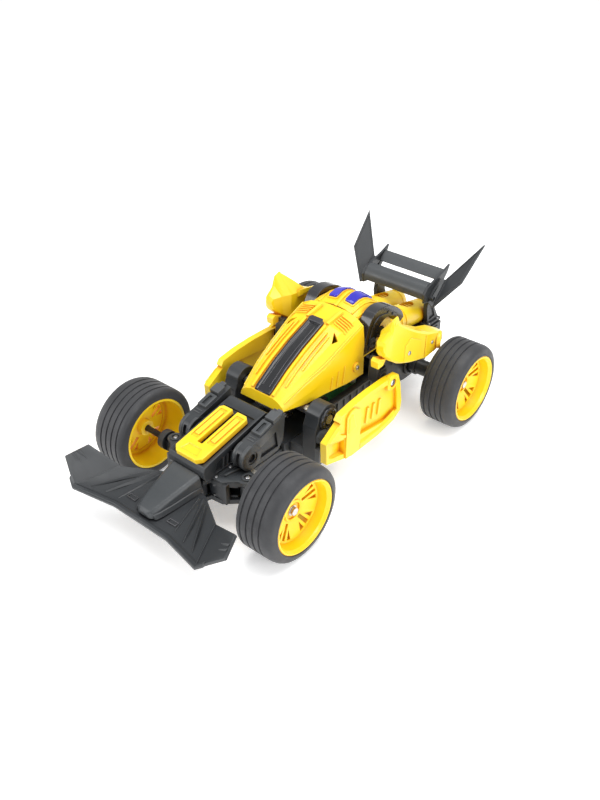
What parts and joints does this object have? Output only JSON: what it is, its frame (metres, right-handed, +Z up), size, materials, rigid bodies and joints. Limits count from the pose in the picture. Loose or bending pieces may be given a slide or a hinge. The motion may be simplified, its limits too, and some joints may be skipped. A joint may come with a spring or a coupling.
{
  "type": "transforming robot car",
  "caption": "Formula-style radio-controlled toy car whose body lifts, opens and unfolds into a standing robot with head and arms.",
  "frame": {"origin": "centre of the footprint at the floor, under the middle of the bounding box", "axes": "-Y points to the front of the car, +X to its left side, +Z up"},
  "size_m": [0.1986, 0.3586, 0.1407],
  "materials": {
    "yellow_plastic": "moulded, semi-gloss",
    "black_plastic": "moulded, satin",
    "blue_window": "gloss",
    "tyre": "soft rubber with moulded grooves",
    "steel": "turned",
    "white_nylon": "moulded gear plastic",
    "battery_wrap": "shrink wrap",
    "board": "solder mask"
  },
  "bodies": {
    "chassis": {"chassis_tub": "black_plastic", "battery_pack": "battery_wrap", "circuit_board": "board", "speaker": "steel", "gearcase": "black_plastic", "drive_motor": "steel", "lift_motor": "steel", "front_frame": "black_plastic", "steering_servo": "black_plastic", "nose_base": "black_plastic", "nose_cover": "yellow_plastic", "leg_left": "black_plastic", "leg_right": "black_plastic", "wing_spine": "black_plastic", "front_wing": "black_plastic", "hip_bracket_left": "black_plastic", "hip_bracket_right": "black_plastic", "fairing_left": "yellow_plastic", "fairing_right": "yellow_plastic", "wing_strut_left": "black_plastic", "wing_strut_right": "black_plastic"},
    "rear_axle": {"axle_shaft": "steel", "axle_gear": "white_nylon", "rim_rear_left": "yellow_plastic", "rim_rear_right": "yellow_plastic", "tyre_rear_left": "tyre", "tyre_rear_right": "tyre"},
    "motor_pinion": {"motor_pinion": "steel"},
    "rack": {"steering_rack": "white_nylon"},
    "knuckle_left": {"knuckle_left": "black_plastic"},
    "knuckle_right": {"knuckle_right": "black_plastic"},
    "wheel_front_left": {"rim_front_left": "yellow_plastic", "tyre_front_left": "tyre"},
    "wheel_front_right": {"rim_front_right": "yellow_plastic", "tyre_front_right": "tyre"},
    "torso": {"chest_shell": "yellow_plastic", "chest_channel": "black_plastic", "torso_frame": "black_plastic", "hip_shaft": "steel", "head_bay": "yellow_plastic", "side_arch_left": "black_plastic", "side_arch_right": "black_plastic"},
    "lift_pinion": {"lift_pinion": "steel"},
    "canopy": {"canopy": "yellow_plastic", "window_left": "blue_window", "window_right": "blue_window"},
    "head": {"helmet": "yellow_plastic", "visor": "blue_window"},
    "arm_left": {"shoulder_pod_left": "yellow_plastic", "elbow_link_left": "black_plastic"},
    "arm_right": {"shoulder_pod_right": "yellow_plastic", "elbow_link_right": "black_plastic"},
    "forearm_left": {"forearm_left": "yellow_plastic"},
    "forearm_right": {"forearm_right": "yellow_plastic"},
    "rear_wing": {"wing_plane": "black_plastic", "wing_flap": "black_plastic", "endplate_left": "black_plastic", "endplate_right": "black_plastic"},
    "battery_door": {"battery_door": "black_plastic"},
    "power_switch": {"power_switch": "black_plastic"}
  },
  "joints": [
    {"name": "torso_lift", "type": "hinge", "parent": "chassis", "child": "torso", "pos_m": [0, -0.02, 0.06], "axis": [1, 0, 0], "range_deg": [0, 85]},
    {"name": "lift_pinion_spin", "type": "hinge", "parent": "chassis", "child": "lift_pinion", "pos_m": [0, -0.01229, 0.04346], "axis": [1, 0, 0], "range_deg": [-171, 0]},
    {"name": "rear_axle_spin", "type": "hinge", "parent": "chassis", "child": "rear_axle", "pos_m": [0, 0.1205, 0.038], "axis": [1, 0, 0], "continuous": true},
    {"name": "motor_pinion_spin", "type": "hinge", "parent": "chassis", "child": "motor_pinion", "pos_m": [0, 0.09925, 0.038], "axis": [1, 0, 0], "continuous": true},
    {"name": "steer_left", "type": "hinge", "parent": "chassis", "child": "knuckle_left", "pos_m": [0.038, -0.099, 0.038], "axis": [0, 0, 1], "range_deg": [-14, 14]},
    {"name": "steer_right", "type": "hinge", "parent": "chassis", "child": "knuckle_right", "pos_m": [-0.038, -0.099, 0.038], "axis": [0, 0, 1], "range_deg": [-14.5, 14.5]},
    {"name": "rack_slide", "type": "slide", "parent": "chassis", "child": "rack", "axis": [1, 0, 0], "range_m": [-0.00355, 0.00355]},
    {"name": "wheel_left_spin", "type": "hinge", "parent": "knuckle_left", "child": "wheel_front_left", "pos_m": [0.038, -0.099, 0.038], "axis": [1, 0, 0], "continuous": true},
    {"name": "wheel_right_spin", "type": "hinge", "parent": "knuckle_right", "child": "wheel_front_right", "pos_m": [-0.038, -0.099, 0.038], "axis": [1, 0, 0], "continuous": true},
    {"name": "canopy_hinge", "type": "hinge", "parent": "torso", "child": "canopy", "pos_m": [0, 0.097, 0.098], "axis": [-1, 0, 0], "range_deg": [0, 60]},
    {"name": "head_slide", "type": "slide", "parent": "torso", "child": "head", "axis": [0, 0, 1], "range_m": [0, 0.016]},
    {"name": "shoulder_left", "type": "hinge", "parent": "torso", "child": "arm_left", "pos_m": [0.05, 0.084, 0.082], "axis": [-1, 0, 0], "range_deg": [0, 45]},
    {"name": "shoulder_right", "type": "hinge", "parent": "torso", "child": "arm_right", "pos_m": [-0.05, 0.084, 0.082], "axis": [-1, 0, 0], "range_deg": [0, 45]},
    {"name": "elbow_left", "type": "hinge", "parent": "arm_left", "child": "forearm_left", "pos_m": [0.06, 0.044, 0.068], "axis": [-1, 0, 0], "range_deg": [0, 50]},
    {"name": "elbow_right", "type": "hinge", "parent": "arm_right", "child": "forearm_right", "pos_m": [-0.06, 0.044, 0.068], "axis": [-1, 0, 0], "range_deg": [0, 50]},
    {"name": "wing_tilt", "type": "hinge", "parent": "chassis", "child": "rear_wing", "pos_m": [0, 0.152, 0.096], "axis": [1, 0, 0], "range_deg": [-10, 15]},
    {"name": "battery_door_hinge", "type": "hinge", "parent": "chassis", "child": "battery_door", "pos_m": [0, 0.0725, 0.0195], "axis": [1, 0, 0], "range_deg": [0, 75]},
    {"name": "switch_slide", "type": "slide", "parent": "chassis", "child": "power_switch", "axis": [0, 1, 0], "range_m": [0, 0.004]}
  ],
  "couplings": [
    {"joint": "lift_pinion_spin", "follows": "torso_lift", "ratio": -2},
    {"joint": "motor_pinion_spin", "follows": "rear_axle_spin", "ratio": -2.5},
    {"joint": "steer_right", "follows": "steer_left", "ratio": 1},
    {"joint": "rack_slide", "follows": "steer_left", "m_per_rad": -0.014},
    {"joint": "head_slide", "follows": "canopy_hinge", "m_per_rad": 0.015}
  ]
}
